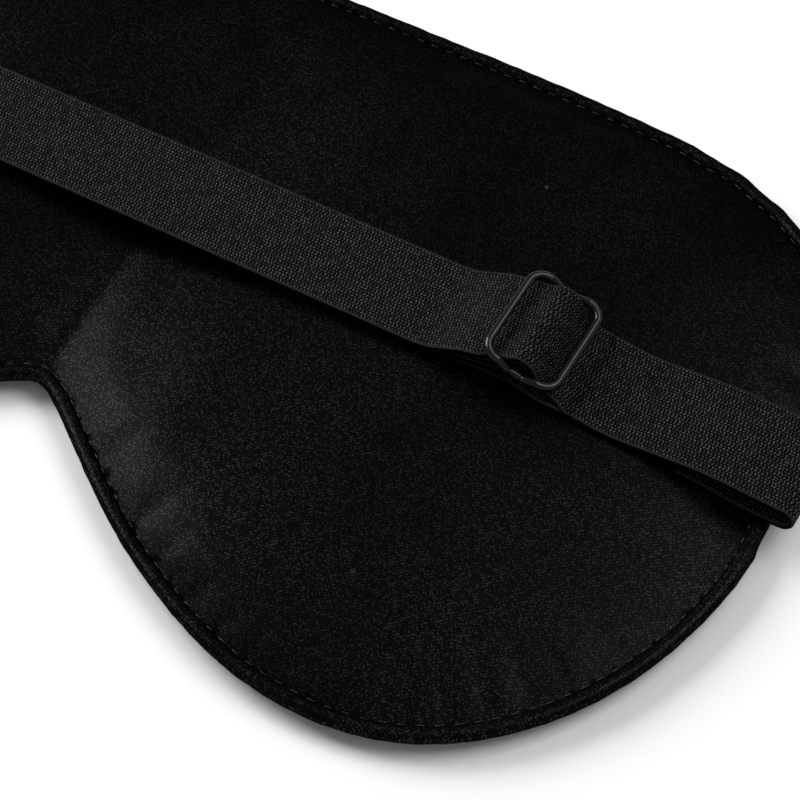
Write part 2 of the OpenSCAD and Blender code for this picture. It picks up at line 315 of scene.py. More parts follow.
def satin_material(name, dark, light, angle):
    """Black satin: dark is the colour between floats and light the colour of the brightest ones."""
    s = Shader(name)
    place = s.add("ShaderNodeTexCoord").outputs["Object"]
    lustre = s.noise(place, 38.0, 3.0, 0.6)  # changes over about 25 mm
    glint = s.math("MULTIPLY", satin_floats(s, place, angle), s.ramp(lustre, 0.3, 0.72, 0.6, 1.25))
    lint = s.math("MULTIPLY", lint_specks(s, place), 0.5)
    s.set(
        color=s.mix(lint, s.mix(glint, dark, light), LINT_COLOUR),
        metallic=0.8,
        roughness=s.ramp(lustre, 0.3, 0.7, 0.33, 0.41),
        specular=0.03,
        grazing_tint=GRAZING_TINT,
        sheen=0.003,
        sheen_roughness=0.35,
        sheen_tint=(0.8, 0.92, 0.95, 1),
        normal=s.bump(glint, 0.02 * MM, 0.7),
    )
    return s.material


# The elastic's stitches, in the millimetres of its UV map: rows along the strap, stitches along a row
WALE = 0.95
COURSE = 0.52


def knit(s, uv, length, width):
    """Stitches in staggered rows, 0 between them, and a random number for each leg of their V shapes."""
    wobble = s.noise(uv, 1.1, 2.0)
    along = s.math("ADD", s.math("DIVIDE", length, COURSE), s.math("MULTIPLY", wobble, 0.5))
    across = s.math("DIVIDE", width, WALE)
    # side is 0 in the middle of a row and 1 where rows meet
    side = s.math("MULTIPLY", s.math("ABSOLUTE", s.math("SUBTRACT", s.math("FRACT", across), 0.5)), 2.0)
    stagger = s.math("MULTIPLY", s.math("FLOORED_MODULO", s.math("FLOOR", across), 2.0), 0.5)
    slant = s.math("ADD", stagger, s.math("MULTIPLY", side, 0.4))
    row = s.math("ADD", along, slant)
    leg = s.ramp(s.math("ABSOLUTE", s.math("SUBTRACT", s.math("FRACT", row), 0.5)), 0.34, 0.06)
    between = s.math("MULTIPLY", s.ramp(side, 1.0, 0.62), s.ramp(side, 0.0, 0.38, 0.1, 1.0))
    half_wale = s.math("FLOOR", s.math("MULTIPLY", across, 2.0))
    leg_id = s.add("ShaderNodeCombineXYZ", {0: s.math("FLOOR", row), 1: half_wale}).outputs[0]
    draw = s.add("ShaderNodeTexWhiteNoise", {"Vector": leg_id}, noise_dimensions="2D").outputs["Value"]
    return s.math("MULTIPLY", leg, between), draw


def elastic_material():
    """Black knitted elastic: stitches of uneven brightness, faded out by painted shade on the strap's
    sides, with a dim painted highlight line near each edge.
    """
    s = Shader("knitted_elastic")
    uv = s.add("ShaderNodeTexCoord").outputs["UV"]
    split = s.add("ShaderNodeSeparateXYZ", {0: uv})
    stitch, draw = knit(s, uv, split.outputs[0], split.outputs[1])
    fuzz = s.noise(uv, 3.2, 3.0, 0.7)
    from_edge = s.math("SUBTRACT", STRAP_W / MM / 2, s.math("ABSOLUTE", split.outputs[1]))
    # A dim painted highlight line along each selvedge, just in from the strap's edge
    painted_selvedge_highlight = s.math("MULTIPLY", s.ramp(from_edge, 0.5, 0.35), s.ramp(from_edge, 0.1, 0.2, 0.0, 0.2))
    uneven = s.math("MULTIPLY", stitch, s.ramp(draw, 0.0, 1.0, 0.45, 1.3))
    # Painted shade: the stitches fade to the darkest colour on the strap's rounded sides
    inside = s.math("MULTIPLY", uneven, s.ramp(from_edge, 0.1, 0.4))
    lit = s.math("MAXIMUM", s.math("MULTIPLY", inside, s.ramp(fuzz, 0.32, 0.68, 0.4, 1.0)), painted_selvedge_highlight)
    s.set(
        # The knit's own stitch pattern, partly painted: the legs are painted lit and the gaps between them
        # are painted shade
        color=s.mix(lit, (0.0002, 0.0002, 0.0002, 1), (0.088, 0.0866, 0.08, 1)),
        roughness=0.6,
        specular=0.03,
        sheen=0.002,
        sheen_roughness=0.5,
        normal=s.bump(stitch, 0.14 * MM, 0.8),
    )
    return s.material


def wire_material():
    """Black coated wire: smooth lacquer with a faint orange peel and fine scuffs."""
    s = Shader("coated_wire")
    place = s.add("ShaderNodeTexCoord").outputs["Object"]
    peel = s.noise(place, 1400.0, 2.0)
    scuff = s.noise(place, 260.0, 4.0, 0.7)
    s.set(
        color=s.mix(s.ramp(scuff, 0.55, 0.8), (0.004, 0.004, 0.004, 1), (0.012, 0.012, 0.012, 1)),
        roughness=s.ramp(scuff, 0.35, 0.75, 0.15, 0.24),
        specular=0.25,
        coat=0.15,
        coat_roughness=0.15,
        normal=s.bump(peel, 0.02 * MM, 0.5),
    )
    return s.material


def thread_material():
    """Black sewing thread with its twist."""
    s = Shader("sewing_thread")
    place = s.add("ShaderNodeTexCoord").outputs["Object"]
    bands = {"Vector": place, "Scale": 900.0, "Distortion": 1.0}
    twist = s.add("ShaderNodeTexWave", bands, bands_direction="DIAGONAL")
    s.set(
        color=s.mix(twist.outputs["Fac"], (0.002, 0.002, 0.0018, 1), (0.009, 0.009, 0.008, 1)),
        roughness=0.4,
        specular=0.3,
        normal=s.bump(twist.outputs["Fac"], 0.04 * MM),
    )
    return s.material


def filling_material():
    """Pale, fibrous wadding."""
    s = Shader("wadding")
    place = s.add("ShaderNodeTexCoord").outputs["Object"]
    fibres = s.noise(place, 900.0, 5.0, 0.7)
    s.set(
        color=s.mix(fibres, (0.55, 0.55, 0.52, 1), (0.85, 0.85, 0.82, 1)),
        roughness=0.95,
        specular=0.1,
        normal=s.bump(fibres, 0.2 * MM),
    )
    return s.material


def lining_material():
    """Dense dark plain-weave lining."""
    s = Shader("blackout_weave")
    place = s.add("ShaderNodeTexCoord").outputs["Object"]
    weave = s.add("ShaderNodeTexChecker", {"Vector": place, "Scale": 2500.0}).outputs["Fac"]
    s.set(
        color=s.mix(weave, (0.006, 0.006, 0.007, 1), (0.02, 0.02, 0.022, 1)),
        roughness=0.85,
        specular=0.2,
        normal=s.bump(weave, 0.05 * MM),
    )
    return s.material


def floor_material():
    """Plain pale surface, very slightly uneven."""
    s = Shader("pale_floor")
    place = s.add("ShaderNodeTexCoord").outputs["Object"]
    s.set(
        color=s.mix(s.noise(place, 3.0), (0.90, 0.90, 0.905, 1), (0.93, 0.93, 0.93, 1)),
        roughness=0.7,
        specular=0.2,
    )
    return s.material


# ---------------------------------------------------------------- outline of the mask
# Lengths of the outline's curve handles at the notch, the lobe (inner and outer), the end and the brow
NOTCH_PULL = 5.6 * MM
LOBE_PULL_IN = 29.4 * MM
LOBE_PULL_OUT = 20.6 * MM
END_PULL_DOWN = 25.2 * MM
END_PULL_UP = 66.9 * MM
BROW_PULL = 71.3 * MM


def half_outline():
    """Right half of the outline, from the notch round to the middle of the brow: three cubic curves."""
    t = np.linspace(0, 1, 240, endpoint=False)
    notch = (0, NOTCH_Y)
    lobe = (LOBE_X, BOTTOM_Y)
    end = (HALF_LENGTH, END_Y)
    brow = (0, TOP_Y)
    inner = [notch, (NOTCH_PULL, NOTCH_Y), (LOBE_X - LOBE_PULL_IN, BOTTOM_Y), lobe]
    outer = [lobe, (LOBE_X + LOBE_PULL_OUT, BOTTOM_Y), (HALF_LENGTH, END_Y - END_PULL_DOWN), end]
    upper = [end, (HALF_LENGTH, END_Y + END_PULL_UP), (BROW_PULL, TOP_Y), brow]
    return np.vstack([bezier(inner, t), bezier(outer, t), bezier(upper, t), [brow]])


EDGE_STEP = 1.2 * MM
EDGE_OUT = 0.3 * MM  # the whole edge starts this much further out, because the waves cut in
EDGE_SWAY = 0.25 * MM
CORNER_SWAY = 0.4 * MM  # finer waves at the upper right corner
CORNER_X = 78 * MM
CORNER_SPAN = 16 * MM
QUIET_X = 12 * MM  # the notch and the middle of the brow stay smooth up to here


def make_outline(step):
    """Closed outline with the small waves of a sewn edge, its inward normals and distances."""
    right = half_outline()
    left = right[-2:0:-1] * [-1, 1]
    points, at = resample(np.vstack([right, left]), step, closed=True)
    ahead = np.roll(points, -1, axis=0) - np.roll(points, 1, axis=0)
    ahead /= np.linalg.norm(ahead, axis=1)[:, None]
    inward = np.stack([-ahead[:, 1], ahead[:, 0]], axis=1)
    length = at[-1] + step
    sway = waves(at, length, 3, (9, 14, 21), EDGE_SWAY)
    corner = np.exp(-(((points[:, 0] - CORNER_X) / CORNER_SPAN) ** 2)) * (points[:, 1] > END_Y)
    sway += corner * waves(at, length, 5, (46, 61), CORNER_SWAY)
    quiet = smoothstep(np.abs(points[:, 0]) / QUIET_X)
    return points + inward * (sway * quiet - EDGE_OUT)[:, None], inward, at, length


OUTLINE, INWARD, ALONG, PERIMETER = make_outline(EDGE_STEP)


def edge_radius(points, inset):
    """Share of the way from the middle of the mask to its inset edge, for each point."""
    edge = OUTLINE + INWARD * inset - MIDDLE
    angles = np.arctan2(edge[:, 1], edge[:, 0])
    order = np.argsort(angles)
    radius = np.linalg.norm(edge, axis=1)
    place = points - MIDDLE
    found = np.interp(
        np.arctan2(place[:, 1], place[:, 0]), angles[order], radius[order], period=2 * math.pi
    )
    return np.linalg.norm(place, axis=1) / found


PANEL_INSET = 2.2 * MM  # from the edge to the seam inside the piping
VALLEY_X = 18 * MM  # half width of the valley at the nose bridge
TUCK = 1.5 * MM  # depth of the V-shaped tuck over the notch
TUCK_LIMIT = 1.3 * MM
TUCK_X = 5 * MM
TUCK_Y = 13 * MM
FULLNESS = 6  # the higher this power, the nearer to the seam the crown starts to fall
LESS_FULL = 2  # taken off it below the strap
BELOW_STRAP = 14 * MM  # how far that change takes


def face_height(points):
    """Height of the face side: a crown that falls to the seam, with a valley and a tuck at the bridge."""
    share = np.clip(edge_radius(points, PANEL_INSET), 0, 1)
    below_strap = smoothstep((STRAP_Y - 0.7 * STRAP_W - points[:, 1]) / BELOW_STRAP)
    valley = (CROWN_Z - BRIDGE_Z) * np.exp(-((points[:, 0] / VALLEY_X) ** 2))
    tuck = TUCK * np.exp(-np.abs(points[:, 0]) / TUCK_X - (points[:, 1] - NOTCH_Y) / TUCK_Y)
    foot = SEAM_Z + 0.2 * MM
    crown = (CROWN_Z - valley - foot) * (1 - share ** (FULLNESS - LESS_FULL * below_strap))
    return foot + crown - np.minimum(tuck, TUCK_LIMIT) * (1 - share**8)


def back_height(points):
    """Height of the outer side: flat on the surface up to flat_share, then curling up to the seam."""
    flat_share = 0.8
    share = np.clip(edge_radius(points, PANEL_INSET), 0, 1)
    curl = np.clip(share - flat_share, 0, 1) / (1 - flat_share)
    return (SEAM_Z - 0.4 * MM) * curl**2


def panel_grid(inset, spacing):
    """Even triangles over the mask's outline. Returns points, faces and the number of edge points."""
    edge = resample(OUTLINE + INWARD * inset, spacing, closed=True)[0]
    row_step = spacing * math.sqrt(3) / 2
    least_gap = 0.65 * spacing  # between an inner point and the edge's points
    inside = []
    for row, y in enumerate(np.arange(BOTTOM_Y, TOP_Y, row_step)):
        xs = np.arange(-HALF_LENGTH, HALF_LENGTH, spacing) + (row % 2) * spacing / 2
        inside.append(np.stack([xs, np.full(len(xs), y)], axis=1))
    inside = np.vstack(inside)
    inside = inside[edge_radius(inside, inset) < 1]
    gap = np.min(np.linalg.norm(inside[:, None, :] - edge[None, :, :], axis=2), axis=1)
    inside = inside[gap > least_gap]
    points = np.vstack([edge, inside])
    ring = list(range(len(edge)))
    keep_inside, tolerance = 1, 1e-7
    found, _, faces, *_ = delaunay_2d_cdt([Vector(p) for p in points], [], [ring], keep_inside, tolerance)
    return np.array([tuple(p) for p in found]), faces, len(edge)


CLOTH_FRAMES = 20
SIDEWAYS = 0.3  # how far a point may move sideways, as a share of how far it may move up


def swell(obj, edge_count, cap):
    """Inflates a panel as cloth with its edge sewn down, and caps how far each point moves."""
    start = vertices(obj)
    pin = obj.vertex_groups.new(name="pin")
    pin.add(list(range(edge_count)), 1.0, "REPLACE")
    cloth = obj.modifiers.new("cloth", "CLOTH")
    settings = cloth.settings
    settings.vertex_group_mass = "pin"
    settings.effector_weights.gravity = 0
    settings.use_pressure = True
    settings.uniform_pressure_force = 0.6
    settings.quality = 6
    settings.mass = 0.1
    settings.tension_stiffness = 30
    settings.compression_stiffness = 30
    settings.shear_stiffness = 8
    settings.bending_stiffness = 0.05
    settings.shrink_min = -0.012
    cloth.collision_settings.use_collision = False
    cloth.point_cache.frame_start = 1
    cloth.point_cache.frame_end = CLOTH_FRAMES
    for number in range(1, CLOTH_FRAMES + 1):
        scene.frame_set(number)
    applied(obj)
    moved = vertices(obj) - start
    moved[:, 2] = cap * np.tanh(moved[:, 2] / cap)
    moved[:, :2] = SIDEWAYS * cap * np.tanh(moved[:, :2] / cap)
    set_vertices(obj, start + moved)
    scene.frame_set(1)


def subdivided(obj, levels):
    """Smooths the object's mesh by subdivision surfaces."""
    modifier = obj.modifiers.new("subdivision", "SUBSURF")
    modifier.levels = levels
    modifier.render_levels = levels
    return applied(obj)


def edge_place(points):
    """Distance of each point from the outline, and the place along the outline nearest to it."""
    batch = 4000  # few enough points at a time to keep the table of gaps small
    far = np.zeros(len(points))
    at = np.zeros(len(points))
    for first in range(0, len(points), batch):
        part = slice(first, first + batch)
        gaps = np.linalg.norm(points[part, None, :] - OUTLINE[None, :, :], axis=2)
        nearest = np.argmin(gaps, axis=1)
        far[part] = gaps[np.arange(len(nearest)), nearest]
        at[part] = ALONG[nearest]
    return far, at


def pucker_profile(at, seed, spacing, sharp):
    """Creases at uneven steps along the edge: 1 on a crease, 0 between."""
    draw = random.Random(seed)
    place = 0.0
    total = np.zeros(len(at))
    while place < PERIMETER:
        place += spacing * draw.uniform(0.55, 1.6)
        total += draw.uniform(0.3, 1.0) * np.exp(-(((at - place) / sharp) ** 2))
    return total


PUCKER_REACH = 5.5 * MM  # the creases fade over this distance from the middle of the piping
PUCKER_START = 1.4 * MM
PUCKER_RISE = 2.5 * MM
LIVELY_X = 72 * MM  # they are strongest along the right lobe's outer side
LIVELY_SPAN = 22 * MM
FINE_DEPTH = 0.42 * MM
BROAD_DEPTH = 0.35 * MM
# Where each dimple is (x, y), how wide and how deep
DIMPLES = (
    (LOBE_X - 1 * MM, BOTTOM_Y + 15 * MM, 5 * MM, 0.5 * MM),
    (-LOBE_X + 4 * MM, BOTTOM_Y + 18 * MM, 6 * MM, 0.45 * MM),
    (LOBE_X - 30 * MM, BOTTOM_Y + 26 * MM, 9 * MM, 0.4 * MM),
    (LOBE_X + 20 * MM, END_Y + 28 * MM, 9 * MM, 0.35 * MM),
    (-LOBE_X - 16 * MM, END_Y + 20 * MM, 10 * MM, 0.4 * MM),
)


def pucker(obj, strength=1.0):
    """Short radial creases where the satin is gathered into the seam, and soft dimples."""
    co = vertices(obj)
    far, at = edge_place(co[:, :2])
    depth = far - PIPING_R
    fade = np.exp(-depth / PUCKER_REACH) * smoothstep((depth - PUCKER_START) / PUCKER_RISE)
    lively = 0.25 + np.exp(-(((co[:, 0] - LIVELY_X) / LIVELY_SPAN) ** 2)) * (co[:, 1] < 0)
    fine = pucker_profile(at, seed=11, spacing=5.5 * MM, sharp=0.9 * MM)
    broad = pucker_profile(at, seed=12, spacing=16 * MM, sharp=3.5 * MM)
    co[:, 2] -= strength * fade * lively * (FINE_DEPTH * fine + BROAD_DEPTH * broad)
    for x, y, size, deep in DIMPLES:
        near = ((co[:, 0] - x) ** 2 + (co[:, 1] - y) ** 2) / size**2
        co[:, 2] -= strength * deep * np.exp(-near)
    set_vertices(obj, co)


def thickened(obj, thickness):
    """Gives a single-layer mesh its thickness, on the side away from its normals."""
    modifier = obj.modifiers.new("thickness", "SOLIDIFY")
    modifier.thickness = thickness
    modifier.offset = -1
    return applied(obj)


def finish_piece(obj, material, slot, body, *nodes):
    """Gives a piece its material and body, and hides the CAD nodes it stands for; slot is not used. A piece
    given no body is left unattached.
    """
    obj.data.materials.clear()
    obj.data.materials.append(material)
    if body:
        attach(obj, body)
    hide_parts(*nodes)


# ---------------------------------------------------------------- soft body
SEWN_IN = 1.75 * MM  # the panels' edges lie this far inside the outline, hidden by the piping
SEAM_APART = 0.15 * MM  # half the distance between the two panels at the seam


def make_face_panel(material):
    """The satin on the face side, inflated over the wadding and gathered at the seam."""
    points, faces, edge_count = panel_grid(SEWN_IN, 3.2 * MM)
    co = np.column_stack([points, face_height(points)])
    co[:edge_count, 2] = SEAM_Z + SEAM_APART
    obj = add_mesh("face_panel", co, faces)
    swell(obj, edge_count, 0.45 * MM)
    subdivided(obj, 2)
    pucker(obj)
    # A soft ceiling, so that the panel stays under the strap without a crease
    co = vertices(obj)
    ceiling = CROWN_Z + 0.1 * MM
    softness = 0.25 * MM
    co[:, 2] = ceiling - softness * np.log1p(np.exp((ceiling - co[:, 2]) / softness))
    set_vertices(obj, co)
    thickened(obj, SATIN_T)
    finish_piece(obj, material, "satin", "mask", "inner_panel")


def make_back_panel(material):
    """The satin on the outer side, which rests flat."""
    points, faces, edge_count = panel_grid(SEWN_IN, 2.6 * MM)
    co = np.column_stack([points, back_height(points)])
    co[:edge_count, 2] = SEAM_Z - SEAM_APART
    obj = add_mesh("back_panel", co, [tuple(reversed(f)) for f in faces])
    subdivided(obj, 1)
    pucker(obj, strength=-0.4)
    co = vertices(obj)
    co[:, 2] = np.maximum(co[:, 2], 0)
    set_vertices(obj, co)
    thickened(obj, SATIN_T)
    finish_piece(obj, material, "satin", "mask", "outer_panel")


def make_wadding(material):
    """The filling: a crowned closed form just under the panels."""
    under_face = 1.0 * MM
    over_back = 0.7 * MM
    points, faces, edge_count = panel_grid(12 * MM, 4 * MM)
    top = face_height(points) - SATIN_T - under_face
    low = back_height(points) + SATIN_T + over_back
    count = len(points)
    co = np.vstack([np.column_stack([points, top]), np.column_stack([points, low])])
    shell = [tuple(f) for f in faces]
    shell += [tuple(k + count for k in reversed(f)) for f in faces]
    for k in range(edge_count):
        after = (k + 1) % edge_count
        shell.append((after, k, k + count, after + count))
    obj = add_mesh("wadding", co, shell)
    subdivided(obj, 1)
    finish_piece(obj, material, "wadding", "mask", "padding")


def circle(radius, sides):
    """Points (across, up) of a round section."""
    angles = np.linspace(0, 2 * math.pi, sides, endpoint=False)
    return np.stack([np.cos(angles), np.sin(angles)], axis=1) * radius


def sweep(name, path, section):
    """A closed tube round the mask. path holds its centre points, section the (across, up) of its skin."""
    sides = len(section)
    count = len(path)
    points = []
    for centre, normal in zip(path, INWARD):
        for across, up in section:
            points.append((centre[0] + across * normal[0], centre[1] + across * normal[1], centre[2] + up))
    faces = []
    for k in range(count):
        for j in range(sides):
            a, b = k * sides + j, k * sides + (j + 1) % sides
            c, d = ((k + 1) % count) * sides + j, ((k + 1) % count) * sides + (j + 1) % sides
            faces.append((a, b, d, c))
    return add_mesh(name, points, faces)


def overlap_place():
    """Place along the edge, just under the strap's sewn end, where the piping strip laps over its start."""
    below_strap = 3.5 * MM
    spot = np.array([HALF_LENGTH, STRAP_Y - STRAP_W / 2 - below_strap])
    return ALONG[np.argmin(np.linalg.norm(OUTLINE - spot, axis=1))]


def make_piping(material):
    """Round satin edge that swells and pinches slightly between stitches."""
    sides = 16
    rise = 0.08 * MM
    swelling = 0.07
    overlap_swell = 0.16
    overlap_length = 7 * MM
    section = circle(PIPING_R - 0.02 * MM, sides)
    centre = OUTLINE + INWARD * PIPING_R
    lift = waves(ALONG, PERIMETER, 8, (31, 47, 78), rise)
    path = np.column_stack([centre, SEAM_Z + lift])
    obj = sweep("piping", path, section)
    co = vertices(obj).reshape(len(path), sides, 3)
    swellings = 1 + waves(ALONG, PERIMETER, 9, (88, 131, 170), swelling)
    behind = overlap_place() - ALONG
    swellings += np.where(behind > 0, overlap_swell * np.exp(-((behind / overlap_length) ** 2)), 0)
    co = path[:, None, :] + (co - path[:, None, :]) * swellings[:, None, None]
    set_vertices(obj, co.reshape(-1, 3))
    finish_piece(obj, material, "piping_satin", "mask", "piping_cover")


def make_cord(material):
    """The cord inside the piping."""
    path = np.column_stack([OUTLINE + INWARD * PIPING_R, np.full(len(OUTLINE), SEAM_Z)])
    obj = sweep("piping_filler", path, circle(0.6 * PIPING_R, 10))
    finish_piece(obj, material, "wadding", "mask", "piping_cord")


def capsule(centre, direction, up, length, radius, sides=6):
    """Points and faces of one stitch: a short rounded bar, bowed up a little in its middle."""
    side = np.cross(up, direction)
    points = []
    # Each ring: place along the length, share of the radius, and height in radii
    rings = ((-0.5, 0.3, -0.25), (-0.36, 0.9, 0.0), (0.0, 1.0, 0.25), (0.36, 0.9, 0.0), (0.5, 0.3, -0.25))
    for share, swelling, rise in rings:
        for j in range(sides):
            angle = 2 * math.pi * j / sides
            offset = math.cos(angle) * side + math.sin(angle) * up
            points.append(centre + direction * share * length + (offset * swelling + up * rise) * radius)
    faces = []
    for ring in range(len(rings) - 1):
        for j in range(sides):
            a, b = ring * sides + j, ring * sides + (j + 1) % sides
            faces.append((a, b, b + sides, a + sides))
    faces.append(tuple(reversed(range(sides))))
    faces.append(tuple(range((len(rings) - 1) * sides, len(rings) * sides)))
    return points, faces


def join_parts(name, parts):
    """One object from several (points, faces) pairs."""
    points, faces = [], []
    for part_points, part_faces in parts:
        base = len(points)
        points += list(part_points)
        faces += [tuple(k + base for k in f) for f in part_faces]
    return add_mesh(name, points, faces)


def make_seam_stitches(material):
    """Small stitches in the groove between the piping and the face panel."""
    draw = random.Random(21)
    pitch = 2.4 * MM
    thread_r = 0.12 * MM
    groove_z = SEAM_Z + 0.5 * MM
    line = OUTLINE + INWARD * (2 * PIPING_R + 0.05 * MM)
    spots = resample(line, pitch, closed=True)[0]
    parts = []
    up = np.array([0.0, 0.0, 1.0])
    for k in range(len(spots)):
        ahead = spots[(k + 1) % len(spots)] - spots[k - 1]
        ahead = np.array([ahead[0], ahead[1], 0.0]) / np.linalg.norm(ahead)
        centre = np.array([spots[k][0], spots[k][1], groove_z + draw.uniform(-0.04, 0.04) * MM])
        parts.append(capsule(centre, ahead, up, draw.uniform(1.0, 1.3) * MM, thread_r))
    obj = join_parts("edge_stitching", parts)
    finish_piece(obj, material, "thread", "mask", "seam_stitches")


# ---------------------------------------------------------------- strap
def ribbon(name, path, width=STRAP_W, y=STRAP_Y, thickness=STRAP_T, start_u=0.0):
    """Knitted strip along a side-view path. width, y and thickness may vary from point to point."""
    path = np.asarray(path, float)
    count = len(path)
    width, y, thickness = (np.broadcast_to(v, count) for v in (width, y, thickness))
    ahead = np.gradient(path, axis=0)
    ahead /= np.linalg.norm(ahead, axis=1)[:, None]
    normal = np.stack([-ahead[:, 1], ahead[:, 0]], axis=1)
    distance = np.r_[0, np.cumsum(np.linalg.norm(np.diff(path, axis=0), axis=1))]
    # Half section from one edge to the other: (share of the half width, share of the half thickness)
    inner = np.linspace(-0.93, 0.93, 15)
    top = [(-1.0, 0.0), (-0.985, 0.62), (-0.955, 0.98)]
    top += [(v, 0.9 + 0.05 * abs(v)) for v in inner]
    top += [(0.955, 0.98), (0.985, 0.62), (1.0, 0.0)]
    section = top + [(v, -h) for v, h in reversed(top[1:-1])]
    sides = len(section)
    points, uvs = [], []
    for k in range(count):
        for v, h in section:
            off = normal[k] * h * thickness[k] / 2
            points.append((path[k][0] + off[0], y[k] + v * width[k] / 2, path[k][1] + off[1]))
            uvs.append((start_u + distance[k] / MM, v * STRAP_W / MM / 2))
    faces = []
    for k in range(count - 1):
        for j in range(sides):
            a, b = k * sides + j, k * sides + (j + 1) % sides
            faces.append((a, a + sides, b + sides, b))
    faces.append(tuple(range(sides)))
    faces.append(tuple(reversed(range((count - 1) * sides, count * sides))))
    obj = add_mesh(name, points, faces, uvs)
    for edge in obj.data.edges:
        ring_a, ring_b = (k // sides for k in edge.vertices)
        if ring_a == ring_b and ring_a in (0, count - 1):
            edge.use_edge_sharp = True
    return obj


# Side views of the strap's stretches, as [x, z] points of the route that the CAD model's strap takes
STEP = 0.6 * MM
SEWN_PATH = np.array([[82.5, 6.35], [86, 5.95], [90, 5.25], [93.3, 4.8]]) * MM
FOLD_R = 1.6 * MM
FOLD = np.array([END_HIGH.x - FOLD_R - STRAP_T / 2, 6.35 * MM])
RUN_START = 94.9 * MM
RUN_Z = FOLD[1] + FOLD_R + 0.15 * MM
TURN_LEAD = 3.5 * MM  # from the ring's bar to where the elastic starts to turn round it


def right_end_path():
    """Sewn flat on the face side, then out and round the fold outside the piping."""
    fold = arc(FOLD, FOLD_R, 90, -90)
    return resample(np.vstack([[[RUN_START, RUN_Z]], fold, catmull(SEWN_PATH[::-1], STEP)]), STEP)[0]


def right_run_path():
    """From the flat middle down towards the crown and up to the fold."""
    knots = np.array([[70, 7.85], [73.5, 7.62], [79, 8.1], [85, 8.6], [90, 8.5]]) * MM
    return catmull(np.vstack([[[JOIN_RIGHT, MAIN_Z]], knots, [[RUN_START, RUN_Z]]]), STEP)


def left_turn_path():
    """From the flat middle round the ring's bar and back on top."""
    clearance = 0.12 * MM
    lead = RING_BAR[0] + TURN_LEAD
    radius = WIRE_R + clearance + STRAP_T / 2
    lower = ease((FLAT_LEFT, MAIN_Z), (lead, RING_BAR[1] - radius))
    upper = ease((lead, RING_BAR[1] + radius), (FLAT_LEFT, RETURN_Z))
    return resample(np.vstack([lower, arc(RING_BAR, radius, 270, 90), upper]), STEP)[0]


def tab_path():
    """The ring's tab: sewn flat like the strap's end, round the ring's outer bar and back over itself."""
    loop_r = 2.325 * MM
    mirrored = catmull(SEWN_PATH, STEP) * [-1, 1]
    centre = np.array([TAB_LOW.x + STRAP_T / 2 + loop_r, RING_BAR[1]])
    back = np.array([[-94.6, 9.3], [-94, 7.8], [-93.4, 6.4], [-92.2, 5.95], [-89.5, 6.25]]) * MM
    bend = np.vstack([mirrored[-1:], [[-95.4 * MM, 5.2 * MM]], arc(centre, loop_r, 245, 75), back])
    return resample(np.vstack([mirrored[:-1], catmull(bend, STEP)]), STEP)[0]


def loop_path():
    """Up from the return run, over the sewn end on the slider's middle bar, and down to the main run."""
    loop_r = 1.995 * MM
    foot = (RETURN_Z - BAR[1]) / MM
    up = ease((LOOP_LEFT, RETURN_Z), BAR + np.array([-5.3, 0.17]) * MM)
    over = arc(BAR, loop_r, 140, 5)
    down = BAR + np.array([[2.9, -1.2], [3.6, -2.2], [4.6, -2.95], [6.0, foot], [7.4, foot]]) * MM
    return catmull(np.vstack([up[::3], over[::4], down]), STEP)


def sewn_end_path():
    """The strap's end: under the middle bar, round it, and sewn back on itself."""
    foot = (RETURN_Z - BAR[1]) / MM
    wrap_r = 1.045 * MM
    tail = BAR + np.array([[-11.5, foot], [-9, foot + 0.05], [-5, -2.6], [-2.4, -1.7]]) * MM
    wrap = arc(BAR, wrap_r, -105, 150)
    flap = BAR + np.array([[-2.2, -0.5], [-4.2, -1.25], [-6.6, -1.9]]) * MM
    return catmull(np.vstack([tail, wrap[::2], flap]), STEP)


def make_flat_runs(material):
    """The flat middle, and the return run on top of it, which the slider's travel shortens."""
    narrowing = 1.9 * MM  # keeps the lower layer's edge in shadow where the upper one covers it
    narrows_over = 5 * MM
    widens_over = 6.5 * MM
    before_bar = 2 * MM
    flat = resample([[FLAT_LEFT, MAIN_Z], [JOIN_RIGHT, MAIN_Z]], STEP)[0]
    bare = smoothstep((flat[:, 0] - BAR[0] + before_bar) / widens_over)
    covered = smoothstep((flat[:, 0] - FLAT_LEFT) / narrows_over) * (1 - bare)
    main = ribbon("strap_main", flat, STRAP_W - narrowing * covered, start_u=FLAT_LEFT / MM)
    finish_piece(main, material, "elastic", "strap", "strap_main_run")

    flat = resample([[FLAT_LEFT, RETURN_Z], [LOOP_LEFT, RETURN_Z]], STEP)[0]
    back = ribbon("strap_return", flat, start_u=FLAT_LEFT / MM)
    finish_piece(back, material, "elastic", "strap", "strap_return_run")
    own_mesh(back)


def make_slider_layers(material):
    """The loop over the slider's middle bar, squeezed between its sides, and the end sewn to the bar."""
    tip_length = 3.5 * MM
    tip_thinning = 0.96
    between_wires = SLIDER_HIGH.y - SLIDER_LOW.y - 4 * WIRE_R - 0.1 * MM
    narrows_over = 2.5 * MM
    widens_over = 2.0 * MM
    before_wire = 0.5 * MM
    path = loop_path()
    into = smoothstep((path[:, 0] - (SLIDER_LOW.x - before_wire)) / narrows_over)
    out = smoothstep((path[:, 0] - (SLIDER_HIGH.x - before_wire)) / widens_over)
    squeezed = into * (1 - out)
    width = STRAP_W + (between_wires - STRAP_W) * squeezed
    middle = STRAP_Y + (SLIDER_Y - STRAP_Y) * squeezed
    # The tip thins out downwards, where the loop meets the main run
    thin = 1 - tip_thinning * smoothstep((path[:, 0] - (path[-1, 0] - tip_length)) / tip_length)
    path[:, 1] -= STRAP_T / 2 * (1 - thin)
    loop = ribbon("slider_loop", path, width, middle, STRAP_T * thin, start_u=LOOP_LEFT / MM)
    finish_piece(loop, material, "elastic", "slider", "strap_slider_loop")

    sewn = ribbon("sewn_end", sewn_end_path(), between_wires - 0.2 * MM, SLIDER_Y)
    finish_piece(sewn, material, "elastic", "slider", "strap_sewn_end")


